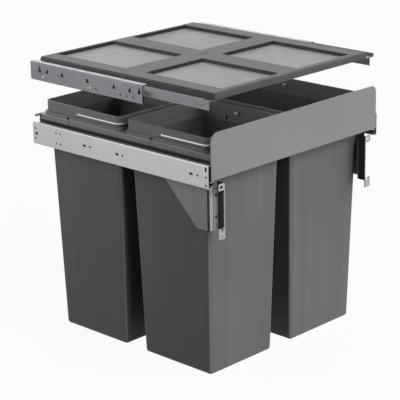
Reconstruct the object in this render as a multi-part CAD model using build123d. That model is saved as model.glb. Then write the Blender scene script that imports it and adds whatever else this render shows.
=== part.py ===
from build123d import *
import math
import os

# Pull-out waste bin frame for a 600 mm kitchen cabinet.
# X runs across the cabinet, +Y into it, +Z up. Lengths in millimetres.
# While a piece is drawn, y is measured from the plane the door lies on and z from the bins' feet.

# Cabinet and runners
cabinet_inner_width = 564.0
runner_length = 550.0
runner_set_back = 4.0
runner_drop = 69.0
runner_height = 52.0
runner_depth = 19.0
cabinet_sheet = 1.8
cabinet_member_depth = 11.9
cabinet_lip = 5.5
member_sheet = 1.6
middle_member_depth = 14.8
middle_lip = 5.4
frame_lip = 3.3
member_play = 0.8
member_bend = 2.2
ball_diameter = 5.0
ball_play = 0.1
balls_per_row = 5
cage_sheet = 0.4
cage_length = 255.0
cage_start = 150.0
cage_edge = 0.4
cage_hole_play = 0.15

# Holes in the runner's cabinet member: distance from its front end, height from its middle
screw_hole_radius = 2.5
screw_hole_places = (30.0, 255.0, 359.0)
slot_length = 10.0
slot_places = (49.0, 272.0, 377.0)
rivet_hole_radius = 2.2
rivet_hole_places = (457.0, 471.0)
rivet_hole_rise = 12.0
front_hole_set_back = 6.0
front_hole_radius = 2.4
front_hole_rise = 17.0
front_hole_drop = 18.0
rear_slot_set_back = 12.0
rear_slot_length = 9.0
rear_slot_width = 6.0
rear_hole_set_back = 8.0
rear_hole_radius = 2.3
rear_hole_rise = 12.0

# Frame of painted sheet steel
frame_sheet = 2.0
side_front = 6.0
side_rear_gap = 8.5
side_height = 57.0
hem_height = 12.0
hem_joint = 1.5
hem_relief = 0.5
hem_front_end = 64.0
hem_rear_length = 96.5
gusset_height = 168.0
gusset_foot = 37.0
gusset_slope = 45.0
gusset_nose_drop = 51.0
flange_front = 20.0
flange_width = 25.0
flange_drop = 77.0
frame_bend = 3.0
cross_rail_lip = 13.0
rear_rail_height = 43.0
centre_bar_lip = 18.0
bin_to_frame = 1.5
rear_tab_out = 14.0
rear_tab_length = 8.0
rear_tab_height = 6.0

# Rivets that hold the frame on the runners
rivet_count = 4
rivet_from_front = 60.0
rivet_from_rear = 44.0
rivet_radius = 2.4
rivet_head_radius = 4.5
rivet_head = 1.4

# Fascia
fascia_side_gap = 7.0
fascia_drop = 51.0
fascia_height = 102.0
fascia_sheet = 1.5
fascia_corner = 20.0
fascia_foot_corner = 2.0
fascia_curve = 14.0
fascia_sweep = 1.5
fascia_return = 10.0
fascia_return_inset = 27.0

# Door brackets of zinc-plated sheet
bracket_sheet = 2.0
bracket_base_width = 15.0
bracket_tab_width = 18.0
bracket_rise = 14.0
bracket_upper_tab = 15.0
bracket_lower_tab = 24.0
bracket_lower_tab_drop = 17.0
bracket_slot_length = 10.0
bracket_slot_radius = 2.5
bracket_hole_rise = 6.0
bracket_base_hole_radius = 2.0
bracket_base_hole_rise = 29.0
bracket_notch_width = 9.0
bracket_notch_height = 16.0
bracket_hook_width = 4.0
bracket_hook_height = 10.0
bracket_hook_drop = 9.0

# Bins
bin_side_gap = 4.0
bin_middle_gap = 26.0
bin_width_difference = 10.0
bin_front = 27.0
bin_rear_gap = 17.0
bin_gap = 20.0
bin_height = 545.0
bin_wall = 2.2
collar_height = 24.0
rim_reach = 5.0
rim_height = 8.0
neck_inset = 4.0
step_drop = 63.0
body_inset = 7.0
foot_inset = 20.0
collar_corner = 14.0
neck_corner = 12.0
bottom_radius = 8.0
rim_notch_width = 8.0
rim_notch_behind_pivot = 29.0

# Bail handles of round wire
bail_wire = 5.0
bail_hole_play = 0.06
bail_drop = 15.5
bail_gap = 0.5
bail_end_gap = 1.8
bail_turn = 2.9
bail_end = 6.0
bail_head_radius = 4.0
bail_behind_middle = 11.0
long_bail_spacing = 73.0

# Lid shelf
lid_rise = 97.0
lid_height = 14.0
lid_side_gap = 30.0
lid_front = 10.0
lid_length = 546.0
lid_sheet = 2.5
lid_chamfer = 4.0
lid_corner = 6.0
window_middle_bar = 60.0
window_side_bar = 43.0
window_cross_bar = 62.0
window_front_bar = 19.0
window_rear_bar = 12.0
window_corner = 4.0
panel_drop = 8.0
panel_height = 4.0
panel_ledge = 5.0
panel_gap = 0.3
lid_mark_length = 26.0
lid_mark_width = 4.0
lid_mark_depth = 1.0

# Rails under the lid: a flange with an upstand outside and a web below
lid_rail_sheet = 1.5
lid_rail_overlap = 12.0
lid_rail_web_out = 14.0
lid_rail_drop = 19.5
lid_rail_front_gap = 4.0
lid_rail_rear_gap = 2.0
lid_rail_gap = 0.3
lid_rail_side_play = 1.0
lid_rail_slot_from_front = 182.0
lid_rail_slot_width = 3.0
lid_rail_slot_height = 11.0

# Lid brackets on the cabinet's walls
wall_bracket_sheet = 1.5
wall_bracket_drop = 32.0
wall_bracket_height = 41.0
wall_bracket_front = 192.0
wall_bracket_length = 360.0
wall_bracket_lip = 14.0
wall_bracket_play = 0.5
wall_bracket_corner = 3.0
wall_bracket_bend = 2.0
tooth_places = (38.0, 87.0, 171.0, 254.0, 304.0)
stop_places = (9.0, 329.0)
tooth_width = 10.0
tooth_root = 3.0
tooth_length = 9.0
stop_hole_height = 14.0
wall_hole_places = (28.0, 47.0, 67.0, 145.0, 166.0, 320.0)
wall_hole_rise = 10.0
wall_hole_radius = 2.4

overrun = 5.0

half = cabinet_inner_width / 2
ball_radius = ball_diameter / 2
row_gap = ball_diameter + 2 * ball_play
runner_front = runner_set_back
collar_foot = bin_height - collar_height
rim_bottom = collar_foot - rim_height
step_height = bin_height - step_drop
frame_top = rim_bottom
runner_middle = frame_top - runner_drop + runner_height / 2
runner_rear = runner_front + runner_length
frame_face = half - runner_depth
plate_inner = frame_face - frame_sheet
flange_inner = plate_inner - flange_width
side_rear = runner_rear - side_rear_gap
hem_rear_start = side_rear - hem_rear_length
rear_rail_rear = runner_rear
rear_tab_reach = plate_inner + rear_tab_out
rivet_pitch = (runner_rear - rivet_from_rear - rivet_from_front) / (rivet_count - 1)
rivet_places = [rivet_from_front + rivet_pitch * i for i in range(rivet_count)]
fascia_width = cabinet_inner_width - 2 * fascia_side_gap
fascia_flat = fascia_width - 2 * fascia_curve
fascia_return_width = fascia_width - 2 * fascia_return_inset
hem_bottom = frame_top - hem_height
side_bottom = frame_top - side_height
gusset_bottom = frame_top - gusset_height
gusset_nose = frame_top - gusset_nose_drop
flange_top = frame_top - flange_drop
rear_rail_bottom = frame_top - rear_rail_height
fascia_bottom = frame_top - fascia_drop
fascia_top = fascia_bottom + fascia_height
neck_clear = neck_inset - bin_to_frame
gusset_bend_end = flange_front + frame_sheet / 2 + frame_bend
bin_outer_edge = plate_inner - bin_side_gap
bin_room = 2 * bin_outer_edge - bin_middle_gap
small_inner = bin_outer_edge - (bin_room - bin_width_difference) / 2
long_inner = bin_outer_edge - (bin_room + bin_width_difference) / 2
bin_rear = runner_rear - bin_rear_gap
small_bin_length = (bin_rear - bin_front - bin_gap) / 2
rear_bin_front = bin_front + small_bin_length + bin_gap
front_rail_rear = bin_front + neck_clear
rear_rail_front = bin_rear - neck_clear
centre_bar = (-small_inner - neck_clear, long_inner + neck_clear)
body_corner = neck_corner - body_inset + neck_inset
rim_corner = collar_corner + rim_reach
pivot_height = bin_height - bail_drop
lid_top = bin_height + lid_rise
lid_bottom = lid_top - lid_height
lid_half_width = half - lid_side_gap
lid_rail_inner = lid_half_width - lid_rail_overlap
lid_rail_web = lid_half_width + lid_rail_web_out
lid_rail_front = lid_front + lid_rail_front_gap
lid_rail_length = lid_length - lid_rail_front_gap - lid_rail_rear_gap
wall_bracket_bottom = lid_bottom - wall_bracket_drop
wall_bracket_top = wall_bracket_bottom + wall_bracket_height
lid_rail_outer = half - wall_bracket_sheet - lid_rail_side_play
depth_middle = (lid_front + lid_length) / 2


def sheet_bar(points, thickness, radius, plane, length):
    """A folded sheet: a line of bends given a thickness and drawn out square to its plane."""
    path = FilletPolyline(*points, radius=radius)
    return extrude(plane * trace(path, line_width=thickness), amount=length)


def block(x, y, z):
    """A box between pairs of limits."""
    size = (x[1] - x[0], y[1] - y[0], z[1] - z[0])
    return Pos((x[0] + x[1]) / 2, (y[0] + y[1]) / 2, (z[0] + z[1]) / 2) * Box(*size)


def across(radius, depth, y, z, x):
    """A round bar along X for holes in upright sheets."""
    return Pos(x, y, z) * Rot(0, 90, 0) * Cylinder(radius, depth)


# Runners. The profile plane has its first axis inward from the cabinet's wall.
def runner_plane(front):
    return Plane(origin=(half, front, runner_middle), x_dir=(-1, 0, 0), z_dir=(0, 1, 0))


def channel(web, lip_at, outer, lip, sheet, turn):
    """Points of a C section on its sheet's middle line, its lips turned by lip towards turn."""
    reach = outer - sheet / 2
    tip = outer - lip if turn < 0 else outer + lip - sheet
    return [(lip_at, tip), (lip_at, reach), (web, reach), (web, -reach), (lip_at, -reach), (lip_at, -tip)]


middle_web = cabinet_sheet + member_play + member_sheet / 2
middle_outer = runner_height / 2 - cabinet_sheet - row_gap
frame_outer = middle_outer - member_sheet - row_gap
frame_web = runner_depth - member_sheet / 2
outer_row = (cabinet_member_depth - cabinet_sheet - ball_play - ball_radius, middle_outer + row_gap / 2)
inner_row = (middle_member_depth - member_sheet - ball_play - ball_radius, frame_outer + row_gap / 2)
frame_lip_at = inner_row[0] - ball_radius - ball_play - member_sheet / 2


def cabinet_member():
    points = channel(cabinet_sheet / 2, cabinet_member_depth - cabinet_sheet / 2, runner_height / 2,
                     cabinet_lip, cabinet_sheet, -1)
    rail = sheet_bar(points, cabinet_sheet, member_bend, runner_plane(runner_front), runner_length)
    web = half - cabinet_sheet / 2
    cut = 2 * cabinet_sheet
    holes = [across(screw_hole_radius, cut, runner_front + y, runner_middle, web) for y in screw_hole_places]
    slot = SlotOverall(slot_length, 2 * screw_hole_radius)
    for y in slot_places:
        holes.append(slot_bar(slot, cut, runner_front + y, runner_middle, web))
    for y in rivet_hole_places:
        for z in (-rivet_hole_rise, rivet_hole_rise):
            holes.append(across(rivet_hole_radius, cut, runner_front + y, runner_middle + z, web))
    at = runner_front + front_hole_set_back
    upright = Rot(0, 0, 90) * slot
    holes.append(slot_bar(upright, cut, at, runner_middle + front_hole_rise, web))
    holes.append(across(front_hole_radius, cut, at, runner_middle, web))
    holes.append(across(screw_hole_radius, cut, at, runner_middle - front_hole_drop, web))
    rear_slot = SlotOverall(rear_slot_length, rear_slot_width)
    holes.append(slot_bar(rear_slot, cut, runner_rear - rear_slot_set_back, runner_middle, web))
    for z in (-rear_hole_rise, rear_hole_rise):
        holes.append(across(rear_hole_radius, cut, runner_rear - rear_hole_set_back, runner_middle + z, web))
    return rail - holes


def slot_bar(outline, depth, y, z, x):
    """A slot's outline, lying along Y, drawn through an upright sheet at x."""
    plane = Plane(origin=(x - depth / 2, y, z), x_dir=(0, 1, 0), z_dir=(1, 0, 0))
    return extrude(plane * outline, amount=depth)


def middle_member():
    lip_at = middle_member_depth - member_sheet / 2
    points = channel(middle_web, lip_at, middle_outer, middle_lip, member_sheet, -1)
    return sheet_bar(points, member_sheet, member_bend, runner_plane(runner_front), runner_length)


def frame_member():
    points = channel(frame_web, frame_lip_at, frame_outer, frame_lip, member_sheet, 1)
    rail = sheet_bar(points, member_sheet, member_bend, runner_plane(runner_front), runner_length)
    web = half - frame_web
    return rail - [across(rivet_radius, 2 * member_sheet, y, runner_middle, web) for y in rivet_places]


def ball_places(row):
    """Centres of one cage's balls, above and below the runner's middle."""
    pitch = cage_length / balls_per_row
    first = runner_front + cage_start + pitch / 2
    return [(half - row[0], first + pitch * i, runner_middle + side * row[1])
            for side in (-1, 1) for i in range(balls_per_row)]


def ball_cage(row, web):
    end = row[0] + ball_radius - cage_edge
    points = [(end, row[1]), (web, row[1]), (web, -row[1]), (end, -row[1])]
    cage = sheet_bar(points, cage_sheet, cage_sheet, runner_plane(runner_front + cage_start), cage_length)
    hole = Cylinder(ball_radius + cage_hole_play, 2 * ball_radius)
    return cage - [Pos(*place) * hole for place in ball_places(row)]


def balls(row):
    return Compound([Pos(*place) * Sphere(ball_radius) for place in ball_places(row)])


# Frame
def frame_side():
    slope = (side_bottom - gusset_bottom) / math.tan(math.radians(gusset_slope))
    outline = [(side_front, frame_top), (side_rear, frame_top), (side_rear, side_bottom),
               (flange_front + gusset_foot + slope, side_bottom), (flange_front + gusset_foot, gusset_bottom),
               (gusset_bend_end, gusset_bottom), (gusset_bend_end, gusset_nose), (side_front, gusset_nose)]
    plane = Plane(origin=(plate_inner, 0, 0), x_dir=(0, 1, 0), z_dir=(1, 0, 0))
    plate = extrude(plane * make_face(Polyline(*outline, close=True)), amount=frame_sheet)
    plate += block((bin_outer_edge - neck_clear, plate_inner), (front_rail_rear, rear_rail_front),
                   (frame_top - frame_sheet, frame_top))
    hems = (((side_front, hem_front_end), 0),
            ((hem_front_end + hem_joint, hem_rear_start), hem_relief),
            ((hem_rear_start + hem_joint, side_rear), 0))
    for y, relief in hems:
        plate += block((frame_face, frame_face + frame_sheet - relief), y, (hem_bottom, frame_top - relief))
    mid = frame_face - frame_sheet / 2
    fold = [(mid, gusset_bend_end + frame_sheet), (mid, flange_front + frame_sheet / 2),
            (flange_inner, flange_front + frame_sheet / 2)]
    foot = Plane.XY.offset(gusset_bottom)
    plate += sheet_bar(fold, frame_sheet, frame_bend, foot, flange_top - gusset_bottom)
    return plate - [across(rivet_radius, 2 * frame_sheet, y, runner_middle, mid) for y in rivet_places]


def cross_plane(start):
    """Cross rails are drawn looking along X, with y to the right and z up."""
    return Plane(origin=(start, 0, 0), x_dir=(0, 1, 0), z_dir=(1, 0, 0))


def front_rail():
    mid = frame_sheet / 2
    top = frame_top - mid
    front, rear = fascia_sheet + mid, front_rail_rear - mid
    low = fascia_bottom + fascia_sheet
    points = [(rear, frame_top - cross_rail_lip), (rear, top), (front, top), (front, low)]
    return sheet_bar(points, frame_sheet, frame_bend, cross_plane(-plate_inner), 2 * plate_inner)


def rear_rail():
    mid = frame_sheet / 2
    top = frame_top - mid
    front, rear = rear_rail_front + mid, rear_rail_rear - mid
    points = [(front, frame_top - cross_rail_lip), (front, top), (rear, top), (rear, rear_rail_bottom)]
    rail = sheet_bar(points, frame_sheet, frame_bend, cross_plane(-rear_tab_reach), 2 * rear_tab_reach)
    for side in ((-rear_tab_reach - overrun, -plate_inner), (plate_inner, rear_tab_reach + overrun)):
        rail -= block(side, (rear_rail_front - overrun, rear_rail_rear - rear_tab_length),
                      (rear_rail_bottom - overrun, frame_top + overrun))
        rail -= block(side, (rear_rail_front - overrun, rear_rail_rear + overrun),
                      (rear_rail_bottom - overrun, frame_top - rear_tab_height))
    end = rear_tab_reach - frame_sheet
    for side in ((-rear_tab_reach, -end), (end, rear_tab_reach)):
        rail += block(side, (rear_rail_rear - rear_tab_length, rear_rail_rear - mid),
                      (frame_top - rear_tab_height, frame_top - mid))
    return rail


def long_bar():
    mid = frame_sheet / 2
    low, top = frame_top - centre_bar_lip, frame_top - mid
    points = [(centre_bar[0] + mid, low), (centre_bar[0] + mid, top), (centre_bar[1] - mid, top),
              (centre_bar[1] - mid, low)]
    plane = Plane(origin=(0, rear_rail_front, 0), x_dir=(1, 0, 0), z_dir=(0, -1, 0))
    return sheet_bar(points, frame_sheet, frame_bend, plane, rear_rail_front - front_rail_rear)


def divider_bar():
    mid = frame_sheet / 2
    low, top = frame_top - centre_bar_lip, frame_top - mid
    front = bin_front + small_bin_length - neck_clear
    rear = rear_bin_front + neck_clear
    points = [(front + mid, low), (front + mid, top), (rear - mid, top), (rear - mid, low)]
    start = -bin_outer_edge + neck_clear
    return sheet_bar(points, frame_sheet, frame_bend, cross_plane(start), centre_bar[0] - start)


def rivets():
    """Flat-headed rivets through the side plate and the runner's frame member."""
    inner = plate_inner - rivet_head
    outer = frame_face + member_sheet
    parts = []
    for y in rivet_places:
        shank = across(rivet_radius, outer - inner, y, runner_middle, (inner + outer) / 2)
        heads = [across(rivet_head_radius, rivet_head, y, runner_middle, plate_inner - rivet_head / 2),
                 across(rivet_head_radius, rivet_head, y, runner_middle, outer + rivet_head / 2)]
        parts.append(shank + heads)
    return Compound(parts)


def fascia():
    """The front plate, its ends swept back and its upper corners rounded."""
    mid = fascia_sheet / 2
    reach = (fascia_width - fascia_flat) / 2
    radius = (reach ** 2 + fascia_sweep ** 2) / (2 * fascia_sweep)
    angle = math.degrees(math.asin(reach / radius))
    right = CenterArc((fascia_flat / 2, mid + radius), radius, -90, angle)
    left = CenterArc((-fascia_flat / 2, mid + radius), radius, -90 - angle, angle)
    path = left + Line((-fascia_flat / 2, mid), (fascia_flat / 2, mid)) + right
    height = fascia_top - fascia_bottom
    skin = extrude(Plane.XY.offset(fascia_bottom) * trace(path, line_width=fascia_sheet), amount=height)
    outline = Rectangle(fascia_width, height)
    corners = outline.vertices().sort_by(Axis.Y)
    outline = fillet(corners[-2:], fascia_corner)
    corners = outline.vertices().sort_by(Axis.Y)
    outline = fillet(corners[:2], fascia_foot_corner)
    depth = 2 * overrun + fascia_sheet
    plane = Plane(origin=(0, -overrun, fascia_bottom + height / 2), x_dir=(1, 0, 0), z_dir=(0, -1, 0))
    skin &= extrude(plane * outline, amount=-depth)
    foot = fascia_return_width / 2
    return skin + block((-foot, foot), (fascia_sheet / 2, fascia_sheet + fascia_return),
                        (fascia_bottom, fascia_bottom + fascia_sheet))


def door_bracket():
    """An upright angle on the gusset's flange, with a tab at each end for the door."""
    web = (flange_inner, flange_inner + bracket_sheet)
    tab_out = flange_inner + bracket_tab_width
    top = flange_top + bracket_rise
    tab_foot = gusset_bottom - bracket_lower_tab_drop
    shape = block(web, (0, flange_front), (gusset_bottom, top))
    shape += block((web[0], web[0] + bracket_base_width), (flange_front - bracket_sheet, flange_front),
                   (gusset_bottom, flange_top))
    for tab in ((tab_foot, tab_foot + bracket_lower_tab), (top - bracket_upper_tab, top)):
        shape += block((web[0], tab_out), (0, bracket_sheet), tab)
    tab_middle = (web[1] + tab_out) / 2
    slot = SlotOverall(bracket_slot_length, 2 * bracket_slot_radius)
    cuts = Pos(tab_middle, top - bracket_upper_tab / 2) * slot
    cuts += Pos(tab_middle, tab_foot + bracket_hole_rise) * Circle(bracket_slot_radius)
    at = web[1] + (bracket_base_width - bracket_sheet) / 2
    wide = bracket_notch_width / 2
    cuts += Pos(at, gusset_bottom + bracket_base_hole_rise) * Circle(bracket_base_hole_radius)
    cuts += Pos(at, flange_top - bracket_hook_drop - bracket_hook_height / 2) * SlotOverall(
        bracket_hook_height, bracket_hook_width, rotation=90)
    cuts += make_face(Polyline((at - wide, gusset_bottom), (at + wide, gusset_bottom),
                               (at, gusset_bottom + bracket_notch_height), close=True))
    face = Plane(origin=(0, flange_front + overrun, 0), x_dir=(1, 0, 0), z_dir=(0, -1, 0))
    return shape - extrude(face * cuts, amount=flange_front + 2 * overrun)


# Bins
def outline_at(x, y, inset, corner, z):
    """A bin's rounded outline at one height, drawn in from its collar."""
    size = (x[1] - x[0] - 2 * inset, y[1] - y[0] - 2 * inset)
    return Pos((x[0] + x[1]) / 2, (y[0] + y[1]) / 2, z) * RectangleRounded(*size, corner)


def tapered(x, y, wall, bottom):
    """The body below the step, drafted alike on all sides, drawn in by the wall for the hollow."""
    width, length = (side[1] - side[0] - 2 * (body_inset + wall) for side in (x, y))
    height = step_height - bottom
    draw = (foot_inset - body_inset) * height / step_height
    wedge = Wedge(width, height, length, draw, draw, width - draw, length - draw)
    middle = Pos((x[0] + x[1]) / 2, (y[0] + y[1]) / 2, bottom + height / 2)
    body = middle * Rot(-90, 0, 0) * wedge
    body = fillet(body.edges().filter_by(Plane.XY, reverse=True), body_corner - wall)
    return fillet(body.faces().sort_by(Axis.Z)[0].edges(), bottom_radius - wall)


def ring(x, y, outer, inner, corner, z, height):
    """An upright wall between two insets from the collar, with its outer corner radius."""
    wide = extrude(outline_at(x, y, outer, corner, z), amount=height)
    return wide - extrude(outline_at(x, y, inner, corner - inner + outer, z), amount=height)


def bin_body(x, y, pivots):
    shape = tapered(x, y, 0, 0) - tapered(x, y, bin_wall, bin_wall)
    neck_height = collar_foot - step_height
    shape += ring(x, y, neck_inset, body_inset + bin_wall, neck_corner, step_height - bin_wall, bin_wall)
    shape += ring(x, y, neck_inset, neck_inset + bin_wall, neck_corner, step_height, neck_height)
    shape += ring(x, y, -rim_reach, neck_inset + bin_wall, rim_corner, collar_foot - bin_wall, bin_wall)
    shape += ring(x, y, -rim_reach, bin_wall - rim_reach, rim_corner, rim_bottom, rim_height)
    shape += ring(x, y, 0, bin_wall, collar_corner, collar_foot, collar_height)
    width = x[1] - x[0] + 2 * (rim_reach + overrun)
    for pivot in pivots:
        shape -= across(bail_wire / 2 + bail_hole_play, width, pivot, pivot_height, (x[0] + x[1]) / 2)
    notch = pivots[-1] + rim_notch_behind_pivot
    return shape - block((x[0] - rim_reach - overrun, x[1] + rim_reach + overrun),
                         (notch - rim_notch_width / 2, notch + rim_notch_width / 2),
                         (rim_bottom - overrun, collar_foot - bin_wall))


def bail(x, pivot, end):
    """A wire round the collar from one side's hole to the other's, past the bin's end."""
    out = bail_gap + bail_wire / 2
    inside = bin_wall + bail_end
    low, high = x[0] - out, x[1] + out
    reach = bail_end_gap + bail_wire / 2
    far = end - reach if end < pivot else end + reach
    z = pivot_height
    points = [(x[0] + inside, pivot, z), (low, pivot, z), (low, far, z), (high, far, z), (high, pivot, z),
              (x[1] - inside, pivot, z)]
    corner = collar_corner + out
    path = FilletPolyline(*points, radius=[bail_turn, corner, corner, bail_turn])
    start = Plane(origin=points[0], z_dir=(-1, 0, 0))
    wire = sweep(start * Circle(bail_wire / 2), path=path)
    return wire + [Pos(*point) * Sphere(bail_head_radius) for point in (points[0], points[-1])]


# Lid shelf
def window_places():
    """Each window's limits in x and y, named by its place."""
    rear = lid_front + lid_length - window_rear_bar
    front = lid_front + window_front_bar
    length = (rear - front - window_cross_bar) / 2
    near, far = window_middle_bar / 2, lid_half_width - window_side_bar
    return {
        "front_left": ((-far, -near), (front, front + length)),
        "front_right": ((near, far), (front, front + length)),
        "rear_left": ((-far, -near), (rear - length, rear)),
        "rear_right": ((near, far), (rear - length, rear)),
    }


def plate_outline(x, y, inset, corner):
    return Pos((x[0] + x[1]) / 2, (y[0] + y[1]) / 2) * RectangleRounded(
        x[1] - x[0] - 2 * inset, y[1] - y[0] - 2 * inset, corner)


def lid_frame():
    x, y = (-lid_half_width, lid_half_width), (lid_front, lid_front + lid_length)
    top = Plane.XY.offset(lid_bottom)
    lid = extrude(top * plate_outline(x, y, 0, lid_corner), amount=lid_height)
    edges = [e for e in lid.faces().sort_by(Axis.Z)[-1].edges().filter_by(Axis.Y)]
    lid = chamfer(edges, lid_chamfer)
    hollow = plate_outline(x, y, lid_sheet + lid_chamfer, lid_corner)
    windows = window_places().values()
    floor = panel_drop + panel_height
    seat = Plane.XY.offset(lid_top - floor)
    for wx, wy in windows:
        lid -= extrude(seat * plate_outline(wx, wy, 0, window_corner), amount=floor)
        lid -= extrude(top * plate_outline(wx, wy, panel_ledge, window_corner), amount=lid_height)
        hollow -= plate_outline(wx, wy, -lid_sheet, window_corner)
    lid -= extrude(top * hollow, amount=lid_height - lid_sheet)
    across_bar = (lid_front + window_front_bar + lid_front + lid_length - window_rear_bar) / 2
    mark = block((0, lid_mark_length), (across_bar, across_bar + lid_mark_width),
                 (lid_top - lid_mark_depth, lid_top + overrun))
    return lid - mark


def lid_panel(x, y):
    base = Plane.XY.offset(lid_top - panel_drop - panel_height)
    return extrude(base * plate_outline(x, y, panel_gap, window_corner), amount=panel_height)


def lid_rail():
    """An extruded strip under the lid's edge that hangs on the wall bracket's teeth."""
    y = (lid_rail_front, lid_rail_front + lid_rail_length)
    under = lid_bottom - lid_rail_sheet
    upstand_top = wall_bracket_top - wall_bracket_sheet - wall_bracket_play
    web = (lid_rail_web - lid_rail_sheet, lid_rail_web)
    rail = block((lid_rail_inner, lid_rail_outer), y, (under, lid_bottom))
    rail += block((lid_rail_outer - lid_rail_sheet, lid_rail_outer), y, (under, upstand_top))
    rail += block(web, y, (lid_bottom - lid_rail_drop, lid_bottom))
    slot_middle = lid_rail_front + lid_rail_slot_from_front
    slot_low = lid_bottom - lid_rail_drop + (lid_rail_drop - lid_rail_slot_height) / 2
    return rail - block((web[0] - overrun, web[1] + overrun),
                        (slot_middle - lid_rail_slot_width / 2, slot_middle + lid_rail_slot_width / 2),
                        (slot_low, slot_low + lid_rail_slot_height))


def wall_bracket():
    """A wall plate with a lip over the lid's rail and lanced teeth under the rail's flange."""
    mid = wall_bracket_sheet / 2
    wall, lip = half - mid, wall_bracket_top - mid
    points = [(-wall, wall_bracket_bottom), (-wall, lip), (-wall + wall_bracket_lip, lip)]
    plane = Plane(origin=(0, wall_bracket_front, 0), x_dir=(-1, 0, 0), z_dir=(0, 1, 0))
    plate = sheet_bar(points, wall_bracket_sheet, wall_bracket_bend, plane, wall_bracket_length)
    foot = plate.faces().sort_by(Axis.Z)[0].edges().filter_by(Axis.X)
    plate = fillet(foot, wall_bracket_corner)
    seat = lid_bottom - lid_rail_sheet - lid_rail_gap
    cut = 2 * wall_bracket_sheet
    hole_foot = seat - wall_bracket_sheet - tooth_length
    for place in tooth_places:
        at = wall_bracket_front + place
        plate -= tooth_blank(at, hole_foot, tooth_length)
        tooth = make_face(Polyline((-wall, at - tooth_root / 2), (-wall, at + tooth_root / 2),
                                   (tooth_length - wall, at + tooth_width / 2),
                                   (tooth_length - wall, at - tooth_width / 2), close=True))
        tooth = extrude(Plane.XY.offset(seat - wall_bracket_sheet) * tooth, amount=wall_bracket_sheet)
        plate += mirror(tooth, about=Plane.YZ)
    for place in stop_places:
        plate -= tooth_blank(wall_bracket_front + place, hole_foot, stop_hole_height)
    hole_height = wall_bracket_bottom + wall_hole_rise
    for place in wall_hole_places:
        plate -= across(wall_hole_radius, cut, wall_bracket_front + place, hole_height, wall)
    return plate


def tooth_blank(y, foot, height):
    """The opening that a lanced tooth leaves: wide at its foot, as narrow as the tooth's root at its top."""
    wide, narrow = tooth_width / 2, tooth_root / 2
    shape = make_face(Polyline((y - wide, foot), (y + wide, foot), (y + narrow, foot + height),
                               (y - narrow, foot + height), close=True))
    plane = Plane(origin=(half - 3 * wall_bracket_sheet / 2, 0, 0), x_dir=(0, 1, 0), z_dir=(1, 0, 0))
    return extrude(plane * shape, amount=2 * wall_bracket_sheet)


def write(shape, name):
    """Moves the origin under the middle of the whole unit and writes the piece."""
    export_step(Pos(0, -depth_middle, 0) * shape, f"parts/{name}.step")


def write_pair(shape, name):
    write(shape, f"{name}_right")
    write(mirror(shape, about=Plane.YZ), f"{name}_left")


os.makedirs("parts", exist_ok=True)

write_pair(cabinet_member(), "runner_cabinet_member")
write_pair(middle_member(), "runner_middle_member")
write_pair(frame_member(), "runner_frame_member")
outer_cage_web = cabinet_sheet + member_play / 2
inner_cage_web = (middle_web + member_sheet / 2 + frame_lip_at - member_sheet / 2) / 2
write_pair(ball_cage(outer_row, outer_cage_web), "outer_ball_cage")
write_pair(balls(outer_row), "outer_balls")
write_pair(ball_cage(inner_row, inner_cage_web), "inner_ball_cage")
write_pair(balls(inner_row), "inner_balls")

write_pair(frame_side(), "frame_side")
write_pair(rivets(), "runner_rivets")
write_pair(door_bracket(), "door_bracket")
write(front_rail(), "frame_front_rail")
write(rear_rail(), "frame_rear_rail")
write(long_bar(), "frame_centre_bar")
write(divider_bar(), "frame_divider_bar")
write(fascia(), "front_fascia")

small_x = (-bin_outer_edge, -small_inner)
long_x = (long_inner, bin_outer_edge)
front_y = (bin_front, bin_front + small_bin_length)
rear_y = (rear_bin_front, rear_bin_front + small_bin_length)
long_y = (bin_front, bin_rear)
for place, y in (("front", front_y), ("rear", rear_y)):
    pivot = (y[0] + y[1]) / 2 + bail_behind_middle
    write(bin_body(small_x, y, [pivot]), f"small_bin_{place}")
    write(bail(small_x, pivot, y[0]), f"small_bin_{place}_bail")
middle = (long_y[0] + long_y[1]) / 2 + bail_behind_middle
ends = {"front": (middle - long_bail_spacing / 2, long_y[0]),
        "rear": (middle + long_bail_spacing / 2, long_y[1])}
write(bin_body(long_x, long_y, [pivot for pivot, end in ends.values()]), "long_bin")
for place, (pivot, end) in ends.items():
    write(bail(long_x, pivot, end), f"long_bin_{place}_bail")

write(lid_frame(), "lid_frame")
for place, (x, y) in window_places().items():
    write(lid_panel(x, y), f"lid_panel_{place}")
write_pair(lid_rail(), "lid_rail")
write_pair(wall_bracket(), "lid_wall_bracket")
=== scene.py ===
"""Finishes, small fasteners and studio for a pull-out waste bin unit."""
import math

import bmesh
import bpy
from bpy.props import FloatProperty, FloatVectorProperty, PointerProperty
from mathutils import Matrix, Vector


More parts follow.
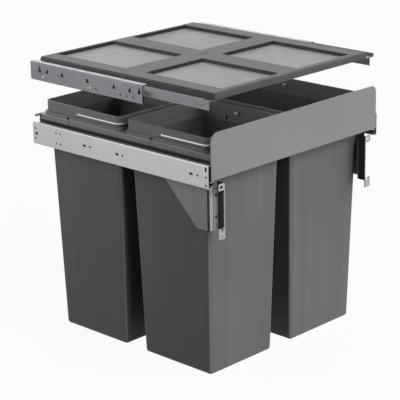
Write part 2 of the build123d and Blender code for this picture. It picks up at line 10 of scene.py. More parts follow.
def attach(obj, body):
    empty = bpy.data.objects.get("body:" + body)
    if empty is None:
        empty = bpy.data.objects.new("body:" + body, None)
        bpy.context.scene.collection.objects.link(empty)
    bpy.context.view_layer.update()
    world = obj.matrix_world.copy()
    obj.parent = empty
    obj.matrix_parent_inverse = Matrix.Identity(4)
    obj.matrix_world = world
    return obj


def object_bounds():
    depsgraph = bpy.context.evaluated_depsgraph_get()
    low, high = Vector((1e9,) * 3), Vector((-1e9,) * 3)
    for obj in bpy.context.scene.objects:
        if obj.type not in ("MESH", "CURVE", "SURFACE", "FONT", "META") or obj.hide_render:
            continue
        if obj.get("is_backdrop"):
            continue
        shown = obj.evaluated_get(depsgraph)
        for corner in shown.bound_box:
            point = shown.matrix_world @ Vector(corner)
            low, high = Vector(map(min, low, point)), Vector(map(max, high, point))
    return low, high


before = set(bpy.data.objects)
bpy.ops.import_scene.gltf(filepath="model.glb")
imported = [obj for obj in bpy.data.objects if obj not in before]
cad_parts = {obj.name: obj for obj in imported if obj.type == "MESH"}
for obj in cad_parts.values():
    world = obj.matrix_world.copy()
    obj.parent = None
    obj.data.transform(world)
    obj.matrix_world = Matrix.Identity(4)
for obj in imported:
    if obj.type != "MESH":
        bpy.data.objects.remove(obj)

bl_info = {
    "name": "Pull-out bin unit",
    "version": (1, 0, 0),
    "blender": (4, 5, 0),
    "location": "View3D > Sidebar > Bin unit",
    "description": "Dresses a pull-out bin frame with its bins and lid shelf",
    "category": "Object",
}

MM = 0.001

# Names of the frame's nodes. Right is +X, and the left side is its mirror image.
SIDES = {"left": -1, "right": 1}
BINS = ("small_bin_front", "small_bin_rear", "long_bin")
BAILS = ("small_bin_front_bail", "small_bin_rear_bail", "long_bin_front_bail",
         "long_bin_rear_bail")
LID_PANELS = ("lid_panel_front_left", "lid_panel_front_right", "lid_panel_rear_left",
              "lid_panel_rear_right")
LID_SHELF = ("lid_frame", *LID_PANELS, *(f"lid_rail_{side}" for side in SIDES),
             *(f"lid_wall_bracket_{side}" for side in SIDES))

# Heights in metres at which a finish changes.
# Painted light: above RIM the bins are painted paler than their walls.
RIM = 0.508  # above it, the bins' hanging rims and collars
# Painted shade: above HEM the side plates' top flange is painted darker.
HEM = 0.5009  # above it, the top flange of the side plates
CORNER_HIGHLIGHT_BELOW = 0.444  # below it, past the runners' lower edge, the bins' upright corners get a painted highlight

# Boxes in metres in which a finish changes, by their lowest and highest corners on the right side.
# Painted shade: near black behind and just above the runner, and in a line along the gusset's bend.
SHADED_BAND = (((0.2550, -0.2700, 0.4450), (0.2640, 0.2700, 0.5008)),  # behind the runner
                ((0.2600, -0.2575, 0.3400), (0.2660, -0.2520, 0.4450)))  # at the gusset's bend
# Painted highlight: a paler line along the top flange's edge.
EDGE_HIGHLIGHT = (((0.2615, -0.2720, 0.5112), (0.2660, 0.2675, 0.5140)),)  # of the top flange
# Painted shade: the door brackets' webs are painted near black.
SHADED_BRACKET_WEB = (((0.2350, -0.2766, 0.3000), (0.2382, -0.2560, 0.4520)),)
# Painted shade: the lid rail's web is painted near black.
SHADED_RAIL_WEB = (((0.2600, -0.0640, 0.6000), (0.2790, 0.2800, 0.6262)),)  # of the lid's rail
# Painted shade: the walls of the runners' punched holes are painted near black.
RUNNER_HOLES = (((0.2790, -0.2728, 0.4470), (0.2830, 0.2748, 0.4930)),)
# Painted shade on the forward-looking rear walls of the lid's windows.
LID_WINDOWS = (((-0.0100, -0.2500, 0.6300), (0.2500, 0.3000, 0.6500)),)

# Sizes of the patterns. The clouds, flow lines and smears are given as so many to a metre.
COAT_CLOUD = 1000 / 9 * MM  # slow drift of the powder's thickness
PLATING_CLOUD = 1000 / 14 * MM  # patches that the plating bath leaves
MOULDING_CLOUD = 200 * MM  # slow drift of a moulding's colour
FLOW_LINE = 1000 / 38 * MM  # width of the lines along which the melt flowed
FLOW_LENGTH = 1000 / 0.9 * MM  # they run on over more than a bin's height
SMEAR = 1000 / 60 * MM  # patches of handling on bright steel
SPANGLE = 7 * MM  # zinc crystals of hot-dip galvanising
ROLLING_LINE = 0.8 * MM  # the real lines are too fine to show, so they are drawn this coarse
ROLLING_LENGTH = 50 * ROLLING_LINE

# How much darker and paler than its base colour each finish drifts.
COAT_DRIFT = (0.93, 1.07)
PLATING_DRIFT = (0.92, 1.06)
MOULDING_DRIFT = (0.8, 1.6)
# The collars' two shades are painted light, paler than the bins' walls.
LIT_COLLAR_DRIFT = (1.36, 1.52)
SPANGLE_DRIFT = (0.93, 1.07)

# How much darker or paler than its base colour a finish is in one place.
# Painted shade on the side plates' top flange.
FLANGE_SHADE = 0.54
# Painted highlight on the bins' upright corners.
CORNER_HIGHLIGHT = 1.9

# The door brackets' screws.
BASE_FACE = -260 * MM  # front face of the base plates
SCREW_ACROSS = 244.5 * MM
SCREW_HEIGHTS = (374 * MM, 422 * MM)
TURNED_STEPS = 24
SHARP_ANGLE = math.radians(40)  # from it on, faces meet in a sharp edge
TOUCHING = 0.001 * MM  # points nearer than this are one
# A pan head's profile in shares of its radius and height, from the axis outwards: the socket's
# floor and wall, the top with its rounded edge, the rim and the underside.
PAN_PROFILE = ((0, 0.35), (0.42, 0.35), (0.42, 1.0), (0.78, 1.0), (0.94, 0.8), (1.0, 0.45),
               (1.0, 0), (0, 0))

# Suns: how many degrees of the sky each one fills, where it shines from, and whether it shines past
# the lid shelf.
SUNS = {
    "key": (60, (0.20, -0.90, 0.45), False),
    "inner": (10, (0.65, -0.75, 0.60), True),
    "back": (50, (0.70, 0.60, 0.30), False),
}
# The soft lamp on the left, in metres.
SIDE_LAMP_WIDTH = 0.7
SIDE_LAMP_PLACE = (-0.95, 0.40, 0.80)
SIDE_LAMP_AIM = (-0.25, 0.0, 0.35)

FLOOR_REACH = 30  # metres from the middle to each edge
FLOOR_GAP = 1 * MM  # from the floor up to the unit's lowest point
PAPER_GLOW = 0.94  # the share of the floor that is white to the eye; the rest takes the shadow

# The camera that was fitted to the photograph: azimuth, elevation and roll in degrees, its place in
# metres, and the shift of its picture.
CAMERA_ANGLES = (-46.186, 17.142, -0.932)
CAMERA_PLACE = (-2.577, -2.470, 1.441)
CAMERA_SHIFT = (-0.01486, -0.04437)

# Sockets of the Mix nodes, which go by number because the colours and numbers share their names.
FACTOR, MIX_A, MIX_B = 0, 6, 7
MIXED = 2


def linear(code):
    """An sRGB hex colour as linear values."""
    parts = [int(code[i:i + 2], 16) / 255 for i in (1, 3, 5)]
    return [p / 12.92 if p <= 0.04045 else ((p + 0.055) / 1.055) ** 2.4 for p in parts]


def shaded(base, factor=1.0):
    """A base colour, darker or paler by a factor, with the fourth value that a socket takes."""
    return [min(1.0, c * factor) for c in base] + [1.0]


WHITE = shaded(linear("#FFFFFF"))


def drift(base, factors):
    """The darker and the paler shade of a base colour, as settings of a Mix node."""
    return {socket: shaded(base, factor) for socket, factor in zip((MIX_A, MIX_B), factors)}


def colour(name, code, words):
    """A colour that the user can change."""
    return FloatVectorProperty(name=name, description=words, subtype="COLOR", size=3, min=0, max=1,
                               default=linear(code))


def length(name, value, words):
    """A size that the user can change, given in millimetres."""
    return FloatProperty(name=name, description=words, subtype="DISTANCE", unit="LENGTH",
                         default=value * MM)


def strength(name, value, words):
    """A lamp's strength that the user can change."""
    return FloatProperty(name=name, description=words, default=value, min=0)


class FinishColours(bpy.types.PropertyGroup):
    runner: colour("Runners", "#AFB0B2", "Zinc plating on the telescopic runners")
    # Near black: painted shade on the middle members and cages, also the screws' colour and that of
    # painted shade elsewhere.
    member: colour("Middle members", "#2E2E2F",
                   "Phosphate and oil on the runners' middle members")
    carriage: colour("Carriage", "#B3B4B5", "Powder coat on the carriage's sheet steel")
    front: colour("Front plate", "#979899", "Powder coat on the front plate")
    bracket: colour("Door brackets", "#B2B3B4", "Zinc plating on the door brackets")
    wire: colour("Bails", "#E2E3E4", "Bright zinc on the bail wire")
    bin: colour("Bins", "#717173", "Polypropylene of the bins")
    lid: colour("Lid frame", "#5E5E60", "ABS of the lid shelf's frame")
    panel: colour("Lid panels", "#B0B0B1", "ABS of the lid shelf's light panels")
    rail: colour("Lid rails", "#76777A", "Galvanised steel of the lid's rails and brackets")
    ground: colour("Floor", "#F4F4F4", "Studio floor")


class PieceSizes(bpy.types.PropertyGroup):
    screw_head: length("Screw head", 7.0, "Diameter of the door brackets' screw heads")
    screw_height: length("Screw height", 1.6, "How far a screw head stands out")
    grain: length("Moulded grain", 1.1,
                  "Size of the mouldings' eroded grain, drawn coarse enough to show")
    peel: length("Orange peel", 2.4, "Waves of the powder coat")


class StudioSettings(bpy.types.PropertyGroup):
    key: strength("Key lamp", 2.35, "Strength of the key lamp")
    inner: strength("Inner lamp", 0.35, "Strength of the key's part that lights the bins' insides")
    side: FloatProperty(name="Side lamp", description="Power of the soft lamp on the left",
                        subtype="POWER", default=2.9, min=0)
    back: strength("Back lamp", 1.3, "Strength of the lamp behind the unit")
    fill: strength("Room light", 0.05, "Strength of the room's light")
    focal: FloatProperty(name="Focal length", description="Camera lens", unit="CAMERA",
                         default=145.2, min=20)


def colours():
    """The colours as the user has set them."""
    return bpy.context.scene.bin_unit_colours


def sizes():
    """The sizes as the user has set them."""
    return bpy.context.scene.bin_unit_sizes


def add_node(tree, kind, settings=None, links=None):
    """A shader node with its settings and sockets set and its inputs linked.

    A socket goes by its name, or by its number where several share one name."""
    node = tree.nodes.new(kind)
    for key, value in (settings or {}).items():
        if isinstance(key, int) or key in node.inputs:
            node.inputs[key].default_value = value
        else:
            setattr(node, key, value)
    for key, source in (links or {}).items():
        tree.links.new(source, node.inputs[key])
    return node


def new_material(name):
    """A material with an empty tree."""
    material = bpy.data.materials.new(name)
    material.use_nodes = True
    material.node_tree.nodes.clear()
    return material, material.node_tree


def seen_rays(tree):
    """1 for what is seen straight, mirrored or through a clear piece, so that white stays white."""
    path = add_node(tree, "ShaderNodeLightPath")
    shown = path.outputs["Is Camera Ray"]
    for kind in ("Is Glossy Ray", "Is Transmission Ray"):
        shown = add_node(tree, "ShaderNodeMath", {"operation": "MAXIMUM"},
                         {0: shown, 1: path.outputs[kind]}).outputs[0]
    return shown


def within(tree, place, low, high):
    """1 where a point lies in a box given for the right side, or in its mirror image."""
    split = add_node(tree, "ShaderNodeSeparateXYZ", links={0: place})
    across = add_node(tree, "ShaderNodeMath", {"operation": "ABSOLUTE"},
                      {0: split.outputs["X"]}).outputs[0]
    inside = None
    for value, least, most in zip((across, split.outputs["Y"], split.outputs["Z"]), low, high):
        middle, reach = (least + most) / 2, (most - least) / 2
        near = add_node(tree, "ShaderNodeMath", {"operation": "COMPARE", 1: middle, 2: reach},
                        {0: value}).outputs[0]
        if inside is None:
            inside = near
        else:
            inside = add_node(tree, "ShaderNodeMath", {"operation": "MULTIPLY"},
                              {0: inside, 1: near}).outputs[0]
    return inside


def within_any(tree, place, boxes):
    """1 where a point lies in any of some boxes."""
    inside = None
    for low, high in boxes:
        one = within(tree, place, low, high)
        if inside is None:
            inside = one
        else:
            inside = add_node(tree, "ShaderNodeMath", {"operation": "MAXIMUM"},
                              {0: inside, 1: one}).outputs[0]
    return inside


def turned_off_side(tree):
    """1 where a face doesn't look along X, such as a hole's wall in an upright sheet."""
    side_on = 0.7  # the share of X in a face's direction from which it looks along X
    face = add_node(tree, "ShaderNodeNewGeometry").outputs["Normal"]
    along = add_node(tree, "ShaderNodeSeparateXYZ", links={0: face}).outputs["X"]
    size = add_node(tree, "ShaderNodeMath", {"operation": "ABSOLUTE"}, {0: along}).outputs[0]
    return add_node(tree, "ShaderNodeMath", {"operation": "LESS_THAN", 1: side_on},
                    {0: size}).outputs[0]


def zone(tree, place, tint, boxes, base, hole_walls=False):
    """A tint that turns to another one in some boxes, there perhaps only on the walls of holes."""
    if not boxes:
        return tint
    inside = within_any(tree, place, boxes)
    if hole_walls:
        inside = add_node(tree, "ShaderNodeMath", {"operation": "MULTIPLY"},
                          {0: inside, 1: turned_off_side(tree)}).outputs[0]
    return add_node(tree, "ShaderNodeMix", {"data_type": "RGBA", MIX_B: shaded(base)},
                    {FACTOR: inside, MIX_A: tint}).outputs[MIXED]


def corner_highlights(tree, place, tint, base):
    """Upright corners below the runners, painted paler as a painted highlight.

    The X and Y parts of a face's direction multiply to 0.5 at the middle of a corner."""
    corner_edge, corner_middle = 0.36, 0.5
    face = add_node(tree, "ShaderNodeNewGeometry").outputs["Normal"]
    along = add_node(tree, "ShaderNodeSeparateXYZ", links={0: face})
    both = add_node(tree, "ShaderNodeMath", {"operation": "MULTIPLY"},
                    {0: along.outputs["X"], 1: along.outputs["Y"]})
    size = add_node(tree, "ShaderNodeMath", {"operation": "ABSOLUTE"}, {0: both.outputs[0]})
    on_corner = add_node(tree, "ShaderNodeMapRange",
                    {"From Min": corner_edge, "From Max": corner_middle},
                    {"Value": size.outputs[0]})
    height = add_node(tree, "ShaderNodeSeparateXYZ", links={0: place}).outputs["Z"]
    low = add_node(tree, "ShaderNodeMath", {"operation": "LESS_THAN", 1: CORNER_HIGHLIGHT_BELOW}, {0: height})
    amount = add_node(tree, "ShaderNodeMath", {"operation": "MULTIPLY"},
                      {0: on_corner.outputs["Result"], 1: low.outputs[0]})
    return add_node(tree, "ShaderNodeMix", {"data_type": "RGBA", MIX_B: shaded(base, CORNER_HIGHLIGHT)},
                    {FACTOR: amount.outputs[0], MIX_A: tint}).outputs[MIXED]


def shaded_window_walls(tree, place, tint):
    """The rear walls of the lid's windows, which look forward, painted near black as painted shade.
    """
    head_on = -0.5  # the share of Y in a face's direction below which it looks forward
    face = add_node(tree, "ShaderNodeNewGeometry").outputs["Normal"]
    facing = add_node(tree, "ShaderNodeSeparateXYZ", links={0: face}).outputs["Y"]
    forward = add_node(tree, "ShaderNodeMath", {"operation": "LESS_THAN", 1: head_on},
                       {0: facing})
    wall = add_node(tree, "ShaderNodeMath", {"operation": "MULTIPLY"},
                    {0: forward.outputs[0], 1: within_any(tree, place, LID_WINDOWS)})
    return add_node(tree, "ShaderNodeMix", {"data_type": "RGBA", MIX_B: shaded(colours().member)},
                    {FACTOR: wall.outputs[0], MIX_A: tint}).outputs[MIXED]


def powder_coat(name, base, roughness, shade_above=None, highlight_boxes=(), shade_boxes=()):
    """Polyester powder coat, sprayed and baked: satin, with the soft waves called orange peel.

    Above a given height the coat is painted darker, as painted shade. Some boxes are painted back
    to the base colour as a painted highlight, and others near black as painted shade."""
    material, tree = new_material(name)
    place = add_node(tree, "ShaderNodeTexCoord").outputs["Object"]
    peel = add_node(tree, "ShaderNodeTexNoise", {"Scale": 1 / sizes().peel, "Detail": 2.0},
                    {"Vector": place})
    cloud = add_node(tree, "ShaderNodeTexNoise", {"Scale": 1 / COAT_CLOUD, "Detail": 2.0},
                     {"Vector": place})
    bump = add_node(tree, "ShaderNodeBump", {"Strength": 0.12, "Distance": 0.06 * MM},
                    {"Height": peel.outputs["Fac"]})
    tint = add_node(tree, "ShaderNodeMix", {"data_type": "RGBA", **drift(base, COAT_DRIFT)},
                    {FACTOR: cloud.outputs["Fac"]}).outputs[MIXED]
    # Painted shade: above the given height the coat is painted darker.
    if shade_above:
        height = add_node(tree, "ShaderNodeSeparateXYZ", links={0: place}).outputs["Z"]
        in_shade = add_node(tree, "ShaderNodeMath", {"operation": "GREATER_THAN", 1: shade_above},
                        {0: height})
        tint = add_node(tree, "ShaderNodeMix",
                        {"data_type": "RGBA", MIX_B: shaded(base, FLANGE_SHADE)},
                        {FACTOR: in_shade.outputs[0], MIX_A: tint}).outputs[MIXED]
    # Painted highlight: the base colour again in these boxes, paler than the darkened flange.
    tint = zone(tree, place, tint, highlight_boxes, base)
    # Painted shade: near black in these boxes.
    tint = zone(tree, place, tint, shade_boxes, colours().member)
    shader = add_node(tree, "ShaderNodeBsdfPrincipled",
                      {"Roughness": roughness, "IOR": 1.5, "Specular IOR Level": 0.3},
                      {"Base Color": tint, "Normal": bump.outputs["Normal"]})
    add_node(tree, "ShaderNodeOutputMaterial", links={"Surface": shader.outputs[0]})
    return material


def rolled_steel(name, base, roughness, metallic=1.0, dark_boxes=(), hole_walls=False):
    """Cold-rolled steel, zinc-plated or phosphated: a soft metal shine with fine rolling lines.

    In the dark boxes it is painted near black as painted shade, where hole_walls is set only on the
    walls of punched holes."""
    smoother, duller = -0.06, 0.08
    material, tree = new_material(name)
    place = add_node(tree, "ShaderNodeTexCoord").outputs["Object"]
    along = add_node(tree, "ShaderNodeMapping",
                     {"Scale": (1 / ROLLING_LINE, 1 / ROLLING_LENGTH, 1 / ROLLING_LINE)},
                     {"Vector": place})
    lines = add_node(tree, "ShaderNodeTexNoise", {"Scale": 1.0, "Detail": 3.0},
                     {"Vector": along.outputs["Vector"]})
    cloud = add_node(tree, "ShaderNodeTexNoise", {"Scale": 1 / PLATING_CLOUD, "Detail": 3.0},
                     {"Vector": place})
    bump = add_node(tree, "ShaderNodeBump", {"Strength": 0.15, "Distance": 0.04 * MM},
                    {"Height": lines.outputs["Fac"]})
    tint = add_node(tree, "ShaderNodeMix", {"data_type": "RGBA", **drift(base, PLATING_DRIFT)},
                    {FACTOR: cloud.outputs["Fac"]}).outputs[MIXED]
    # Painted shade: near black in the dark boxes.
    tint = zone(tree, place, tint, dark_boxes, colours().member, hole_walls)
    dull = add_node(tree, "ShaderNodeMapRange",
                    {"To Min": roughness + smoother, "To Max": roughness + duller},
                    {"Value": cloud.outputs["Fac"]})
    shader = add_node(tree, "ShaderNodeBsdfPrincipled", {"Metallic": metallic},
                      {"Base Color": tint, "Roughness": dull.outputs["Result"],
                       "Normal": bump.outputs["Normal"]})
    add_node(tree, "ShaderNodeOutputMaterial", links={"Surface": shader.outputs[0]})
    return material


def moulded_grain(name, base, roughness, shine=0.25, lit_above=None, window_shade=False):
    """Injection-moulded polymer with a spark-eroded grain: matt, with faint clouds and flow lines.

    Above a given height it is painted paler, as painted light on the collars, and below it the
    upright corners are painted paler as a painted highlight. The rear walls of a lid's windows can
    be painted near black as painted shade."""
    material, tree = new_material(name)
    place = add_node(tree, "ShaderNodeTexCoord").outputs["Object"]
    pits = add_node(tree, "ShaderNodeTexVoronoi", {"Scale": 1 / sizes().grain}, {"Vector": place})
    cloud = add_node(tree, "ShaderNodeTexNoise", {"Scale": 1 / MOULDING_CLOUD, "Detail": 3.0},
                     {"Vector": place})
    bump = add_node(tree, "ShaderNodeBump", {"Strength": 0.1, "Distance": 0.05 * MM},
                    {"Height": pits.outputs["Distance"]})
    upright = add_node(tree, "ShaderNodeMapping",
                       {"Scale": (1 / FLOW_LINE, 1 / FLOW_LINE, 1 / FLOW_LENGTH)},
                       {"Vector": place})
    flow = add_node(tree, "ShaderNodeTexNoise", {"Scale": 1.0, "Detail": 3.0},
                    {"Vector": upright.outputs["Vector"]})
    uneven = add_node(tree, "ShaderNodeMath", {"operation": "MULTIPLY"},
                      {0: cloud.outputs["Fac"], 1: flow.outputs["Fac"]})
    tint = add_node(tree, "ShaderNodeMix", {"data_type": "RGBA", **drift(base, MOULDING_DRIFT)},
                    {FACTOR: uneven.outputs[0]}).outputs[MIXED]
    # Painted shade on the rear walls of the windows.
    if window_shade:
        tint = shaded_window_walls(tree, place, tint)
    # Painted light: above the given height the tint is paler, fading in over the 2 mm below it.
    if lit_above:
        # Painted highlight on the upright corners below the runners.
        tint = corner_highlights(tree, place, tint, base)
        height = add_node(tree, "ShaderNodeSeparateXYZ", links={0: place}).outputs["Z"]
        fine = add_node(tree, "ShaderNodeMapRange",
                        {"From Min": lit_above - 2 * MM, "From Max": lit_above},
                        {"Value": height})
        pale = add_node(tree, "ShaderNodeMix", {"data_type": "RGBA", **drift(base, LIT_COLLAR_DRIFT)},
                        {FACTOR: cloud.outputs["Fac"]}).outputs[MIXED]
        tint = add_node(tree, "ShaderNodeMix", {"data_type": "RGBA"},
                        {FACTOR: fine.outputs["Result"], MIX_A: tint, MIX_B: pale}).outputs[MIXED]
    shader = add_node(tree, "ShaderNodeBsdfPrincipled",
                      {"Roughness": roughness, "IOR": 1.49, "Specular IOR Level": shine},
                      {"Base Color": tint, "Normal": bump.outputs["Normal"]})
    add_node(tree, "ShaderNodeOutputMaterial", links={"Surface": shader.outputs[0]})
    return material


def hot_dip_zinc(name, base, dark_boxes=()):
    """Hot-dip galvanised sheet: dull metal with the crystal patches called spangle.

    In the dark boxes it is painted near black, as painted shade on the rail's web under the lid."""
    smoothest, dullest = 0.42, 0.55
    material, tree = new_material(name)
    place = add_node(tree, "ShaderNodeTexCoord").outputs["Object"]
    cells = add_node(tree, "ShaderNodeTexVoronoi", {"Scale": 1 / SPANGLE}, {"Vector": place})
    grey = add_node(tree, "ShaderNodeSeparateColor", links={"Color": cells.outputs["Color"]})
    tint = add_node(tree, "ShaderNodeMix", {"data_type": "RGBA", **drift(base, SPANGLE_DRIFT)},
                    {FACTOR: grey.outputs["Red"]}).outputs[MIXED]
    # Painted shade: near black in the dark boxes.
    tint = zone(tree, place, tint, dark_boxes, colours().member)
    dull = add_node(tree, "ShaderNodeMapRange", {"To Min": smoothest, "To Max": dullest},
                    {"Value": grey.outputs["Green"]})
    shader = add_node(tree, "ShaderNodeBsdfPrincipled", {"Metallic": 0.85},
                      {"Base Color": tint, "Roughness": dull.outputs["Result"]})
    add_node(tree, "ShaderNodeOutputMaterial", links={"Surface": shader.outputs[0]})
    return material


def polished_steel(name, base, roughness, metallic):
    """Drawn, ground or pressed steel with a smooth surface: it mirrors the room softly."""
    smoothest, dullest = roughness * 0.7, roughness * 1.3
    material, tree = new_material(name)
    place = add_node(tree, "ShaderNodeTexCoord").outputs["Object"]
    smear = add_node(tree, "ShaderNodeTexNoise", {"Scale": 1 / SMEAR, "Detail": 2.0},
                     {"Vector": place})
    dull = add_node(tree, "ShaderNodeMapRange", {"To Min": smoothest, "To Max": dullest},
                    {"Value": smear.outputs["Fac"]})
    shader = add_node(tree, "ShaderNodeBsdfPrincipled",
                      {"Base Color": shaded(base), "Metallic": metallic},
                      {"Roughness": dull.outputs["Result"]})
    add_node(tree, "ShaderNodeOutputMaterial", links={"Surface": shader.outputs[0]})
    return material


def coat(nodes, material):
    """Gives the frame's nodes a finish in their own material slots."""
    for name in nodes:
        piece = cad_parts[name]
        if not piece.material_slots:
            piece.data.materials.append(material)
        for slot in piece.material_slots:
            slot.material = material


def new_piece(name, mesh, body, material):
    """Makes a finished mesh a piece that moves with its body."""
    data = bpy.data.meshes.new(name)
    mesh.to_mesh(data)
    mesh.free()
    piece = bpy.data.objects.new(name, data)
    bpy.context.scene.collection.objects.link(piece)
    data.materials.append(material)
    data.shade_smooth()
    data.set_sharp_from_angle(angle=SHARP_ANGLE)
    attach(piece, body)


def pan_head(radius, height):
    """A screw's pan head with its round socket, turned from a profile, standing on z = 0."""
    mesh = bmesh.new()
    points = [mesh.verts.new((radius * across, 0, height * up)) for across, up in PAN_PROFILE]
    edges = [mesh.edges.new(pair) for pair in zip(points, points[1:])]
    bmesh.ops.spin(mesh, geom=points + edges, cent=(0, 0, 0), axis=(0, 0, 1), angle=math.tau,
                   steps=TURNED_STEPS, use_merge=True)
    bmesh.ops.remove_doubles(mesh, verts=mesh.verts, dist=TOUCHING)
    bmesh.ops.recalc_face_normals(mesh, faces=mesh.faces)
    return mesh


def lay_floor(height):
    """Lays the studio's white floor."""
    mesh = bmesh.new()
    bmesh.ops.create_grid(mesh, x_segments=1, y_segments=1, size=FLOOR_REACH,
                          matrix=Matrix.Translation((0, 0, height)))
    data = bpy.data.meshes.new("studio_floor")
    mesh.to_mesh(data)
    mesh.free()
    floor = bpy.data.objects.new("studio_floor", data)
    bpy.context.scene.collection.objects.link(floor)
    # Background paper: white where it is seen, and matt where the unit's shadow falls on it.
    material, tree = new_material("studio paper")
    lift = add_node(tree, "ShaderNodeEmission", {"Color": WHITE},
                    {"Strength": seen_rays(tree)})
    matt = add_node(tree, "ShaderNodeBsdfDiffuse", {"Color": shaded(colours().ground)})
    mixed = add_node(tree, "ShaderNodeMixShader", {FACTOR: PAPER_GLOW},
                     {1: matt.outputs[0], 2: lift.outputs[0]})
    add_node(tree, "ShaderNodeOutputMaterial", links={"Surface": mixed.outputs[0]})
    data.materials.append(material)
    floor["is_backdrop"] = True


def light_room(fill):
    """Lights the room weakly, and leaves it white where it is seen."""
    world = bpy.data.worlds.new("studio room")
    bpy.context.scene.world = world
    world.use_nodes = True
    tree = world.node_tree
    tree.nodes.clear()
    room = add_node(tree, "ShaderNodeBackground", {"Color": WHITE, "Strength": fill})
    seen = add_node(tree, "ShaderNodeBackground", {"Color": WHITE, "Strength": 1.0})
    mixed = add_node(tree, "ShaderNodeMixShader",
                     links={FACTOR: seen_rays(tree), 1: room.outputs[0], 2: seen.outputs[0]})
    add_node(tree, "ShaderNodeOutputWorld", links={"Surface": mixed.outputs[0]})


def hang(light, place, target, past_lid):
    """Hangs a lamp; one that shines past the lid shelf lights the open bins under it."""
    lamp = bpy.data.objects.new(light.name, light)
    lamp.location = place
    lamp.rotation_euler = (Vector(place) - Vector(target)).to_track_quat("Z", "Y").to_euler()
    bpy.context.scene.collection.objects.link(lamp)
    if not past_lid:
        return
    passed = bpy.data.collections.new(f"{light.name}_passes")
    for name in LID_SHELF:
        passed.objects.link(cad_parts[name])
    lamp.light_linking.blocker_collection = passed
    for entry in passed.collection_objects:
        entry.light_linking.link_state = "EXCLUDE"


def hang_lamps(settings):
    """Hangs the suns, and the soft lamp on the left."""
    for name, (width, place, past_lid) in SUNS.items():
        sun = bpy.data.lights.new(name, "SUN")
        sun.energy = getattr(settings, name)
        sun.angle = math.radians(width)
        hang(sun, place, (0, 0, 0), past_lid)
    side = bpy.data.lights.new("side", "AREA")
    side.energy = settings.side
    side.size = SIDE_LAMP_WIDTH
    hang(side, SIDE_LAMP_PLACE, SIDE_LAMP_AIM, True)


def stand_camera(focal):
    """Stands the camera where the photograph was taken from, with the picture's own middle."""
    data = bpy.data.cameras.new("camera")
    camera = bpy.data.objects.new("camera", data)
    bpy.context.scene.collection.objects.link(camera)
    azimuth, elevation, roll = (math.radians(angle) for angle in CAMERA_ANGLES)
    back = Vector((math.sin(azimuth) * math.cos(elevation),
                   -math.cos(azimuth) * math.cos(elevation), math.sin(elevation)))
    level = Vector((math.cos(azimuth), math.sin(azimuth), 0))
    upright = back.cross(level)
    right = math.cos(roll) * level + math.sin(roll) * upright
    up = math.cos(roll) * upright - math.sin(roll) * level
    turn = Matrix((right, up, back)).transposed().to_4x4()
    camera.matrix_world = Matrix.Translation(CAMERA_PLACE) @ turn
    data.sensor_width = 36
    data.lens = focal
    data.shift_x, data.shift_y = CAMERA_SHIFT
    data.clip_end = 100
    bpy.context.scene.camera = camera


class BINUNIT_OT_runners(bpy.types.Operator):
    """Zinc-plated runner members, sheet cages and ground balls"""
    bl_idname = "binunit.runners"
    bl_label = "Runners"
    bl_options = {"REGISTER", "UNDO"}

    def execute(self, context):
        # Electroplated strip: a pale satin metal.
        zinc = rolled_steel("zinc-plated steel, cold rolled", colours().runner, roughness=0.45)
        # The same with punched holes, whose walls are painted near black as painted shade.
        punched = rolled_steel("zinc-plated steel, cold rolled and punched", colours().runner,
                               roughness=0.45, dark_boxes=RUNNER_HOLES, hole_walls=True)
        # Nearly black with a weak shine: painted shade inside the runners, seen through their
        # holes.
        dark = rolled_steel("phosphated steel, oiled", colours().member, roughness=0.5)
        # Hardened and ground: nearly a mirror.
        ball = polished_steel("chrome steel, ground", colours().wire, roughness=0.12, metallic=1.0)
        for side in SIDES:
            coat([f"runner_cabinet_member_{side}"], punched)
            coat([f"runner_frame_member_{side}", f"runner_rivets_{side}"], zinc)
            # Middle members and cages are painted near black as painted shade.
            coat([f"runner_middle_member_{side}"], dark)
            coat([f"{row}_ball_cage_{side}" for row in ("outer", "inner")], dark)
            coat([f"{row}_balls_{side}" for row in ("outer", "inner")], ball)
        return {"FINISHED"}


class BINUNIT_OT_carriage(bpy.types.Operator):
    """Powder-coated side plates and cross rails"""
    bl_idname = "binunit.carriage"
    bl_label = "Carriage"
    bl_options = {"REGISTER", "UNDO"}

    def execute(self, context):
        # Coated steel, satin grey, with painted shade: a near-black band by the runner and a line
        # along the gusset's bend.
        sides = powder_coat("polyester powder coat, grey, on masked phosphate", colours().carriage,
                            roughness=0.5, shade_above=HEM, highlight_boxes=EDGE_HIGHLIGHT,
                            shade_boxes=SHADED_BAND)
        coat([f"frame_side_{side}" for side in SIDES], sides)
        # Coated all over: satin grey.
        paint = powder_coat("polyester powder coat, grey", colours().carriage, roughness=0.5)
        coat(["frame_front_rail", "frame_rear_rail", "frame_centre_bar", "frame_divider_bar"],
             paint)
        return {"FINISHED"}


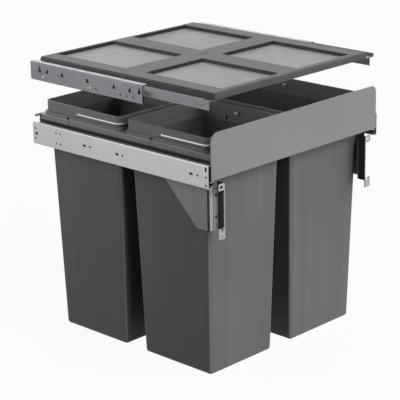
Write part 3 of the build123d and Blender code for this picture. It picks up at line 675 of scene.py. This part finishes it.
class BINUNIT_OT_front(bpy.types.Operator):
    """Powder-coated front plate, and zinc-plated door brackets with their screws"""
    bl_idname = "binunit.front"
    bl_label = "Front plate and door brackets"
    bl_options = {"REGISTER", "UNDO"}

    def execute(self, context):
        # A smoother coat than the carriage's: a little more gloss.
        coat(["front_fascia"],
             powder_coat("polyester powder coat, mid grey", colours().front, roughness=0.42))
        # Plated and pressed: pale tabs with a half metallic, milky shine, on a web painted near
        # black as painted shade.
        zinc = rolled_steel("zinc-plated steel, pressed, dark web", colours().bracket,
                            roughness=0.5, metallic=0.45, dark_boxes=SHADED_BRACKET_WEB)
        coat([f"door_bracket_{side}" for side in SIDES], zinc)
        # Pressed and phosphated: small dark heads with a dull gleam.
        steel = polished_steel("phosphated screw steel, pressed", colours().member,
                               roughness=0.4, metallic=0.6)
        # A head is turned about Z, so it is tipped forward and then set on its base plate.
        tip = Matrix.Rotation(math.radians(90), 4, "X")
        for side, sign in SIDES.items():
            for count, height in enumerate(SCREW_HEIGHTS, 1):
                head = pan_head(sizes().screw_head / 2, sizes().screw_height)
                place = Matrix.Translation((sign * SCREW_ACROSS, BASE_FACE, height))
                bmesh.ops.transform(head, matrix=place @ tip, verts=head.verts)
                new_piece(f"bracket_screw_{side}_{count}", head, "pull_out_frame",
                          steel)
        return {"FINISHED"}


class BINUNIT_OT_bins(bpy.types.Operator):
    """Injection-moulded bins"""
    bl_idname = "binunit.bins"
    bl_label = "Bins"
    bl_options = {"REGISTER", "UNDO"}

    def execute(self, context):
        # Grained polypropylene: a matt grey that scatters the light, with collars painted paler as
        # painted light.
        coat(BINS, moulded_grain("polypropylene, moulded with eroded grain", colours().bin,
                                 roughness=0.5, lit_above=RIM))
        return {"FINISHED"}


class BINUNIT_OT_bails(bpy.types.Operator):
    """Bright zinc wire bails"""
    bl_idname = "binunit.bails"
    bl_label = "Bails"
    bl_options = {"REGISTER", "UNDO"}

    def execute(self, context):
        # Drawn wire under bright zinc: a light line with a clean highlight.
        coat(BAILS, polished_steel("zinc-plated steel wire, drawn", colours().wire,
                                   roughness=0.3, metallic=0.3))
        return {"FINISHED"}


class BINUNIT_OT_lid(bpy.types.Operator):
    """Lid shelf with its panels, rails and wall brackets"""
    bl_idname = "binunit.lid"
    bl_label = "Lid shelf"
    bl_options = {"REGISTER", "UNDO"}

    def execute(self, context):
        # Fine-grained ABS: dark and matt, with hardly a shine; its windows' rear walls are in
        # painted shade.
        coat(["lid_frame"], moulded_grain("ABS, moulded with fine grain", colours().lid,
                                          roughness=0.6, shine=0.12, window_shade=True))
        # The same plastic in a light grey, a touch flatter.
        coat(LID_PANELS, moulded_grain("ABS, moulded smooth", colours().panel, roughness=0.6,
                                       shine=0.1))
        # Dipped in zinc: a dull mid grey, patched with crystals.
        sheet = hot_dip_zinc("hot-dip galvanised steel", colours().rail)
        # The same, with its web painted near black as painted shade.
        shaded_web = hot_dip_zinc("hot-dip galvanised steel, greased", colours().rail,
                               dark_boxes=SHADED_RAIL_WEB)
        for side in SIDES:
            coat([f"lid_wall_bracket_{side}"], sheet)
            coat([f"lid_rail_{side}"], shaded_web)
        return {"FINISHED"}


class BINUNIT_OT_stage(bpy.types.Operator):
    """White studio floor, lamps and the camera"""
    bl_idname = "binunit.stage"
    bl_label = "Studio"
    bl_options = {"REGISTER", "UNDO"}

    def execute(self, context):
        settings = bpy.context.scene.bin_unit_studio
        lowest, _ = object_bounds()
        lay_floor(lowest[2] - FLOOR_GAP)
        light_room(settings.fill)
        hang_lamps(settings)
        stand_camera(settings.focal)
        bpy.context.scene.view_settings.view_transform = "Standard"
        return {"FINISHED"}


class BINUNIT_PT_panel(bpy.types.Panel):
    """The unit's colours, sizes and studio, and the operators that dress it"""
    bl_idname = "BINUNIT_PT_panel"
    bl_label = "Bin unit"
    bl_space_type = "VIEW_3D"
    bl_region_type = "UI"
    bl_category = "Bin unit"

    def draw(self, context):
        for name, kind in GROUPS.items():
            box = self.layout.box()
            for setting in kind.__annotations__:
                box.prop(getattr(context.scene, name), setting)
        for operator in OPERATORS:
            self.layout.operator(operator.bl_idname)


OPERATORS = (BINUNIT_OT_runners, BINUNIT_OT_carriage, BINUNIT_OT_front, BINUNIT_OT_bins,
             BINUNIT_OT_bails, BINUNIT_OT_lid, BINUNIT_OT_stage)
GROUPS = {"bin_unit_colours": FinishColours, "bin_unit_sizes": PieceSizes,
          "bin_unit_studio": StudioSettings}


def register():
    for name, group in GROUPS.items():
        bpy.utils.register_class(group)
        setattr(bpy.types.Scene, name, PointerProperty(type=group))
    for kind in (*OPERATORS, BINUNIT_PT_panel):
        bpy.utils.register_class(kind)


def unregister():
    for kind in (BINUNIT_PT_panel, *OPERATORS):
        bpy.utils.unregister_class(kind)
    for name, group in GROUPS.items():
        delattr(bpy.types.Scene, name)
        bpy.utils.unregister_class(group)


def main():
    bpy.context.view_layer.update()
    register()
    for operator in OPERATORS:
        group, name = operator.bl_idname.split(".")
        getattr(getattr(bpy.ops, group), name)()


if __name__ == "__main__":
    main()
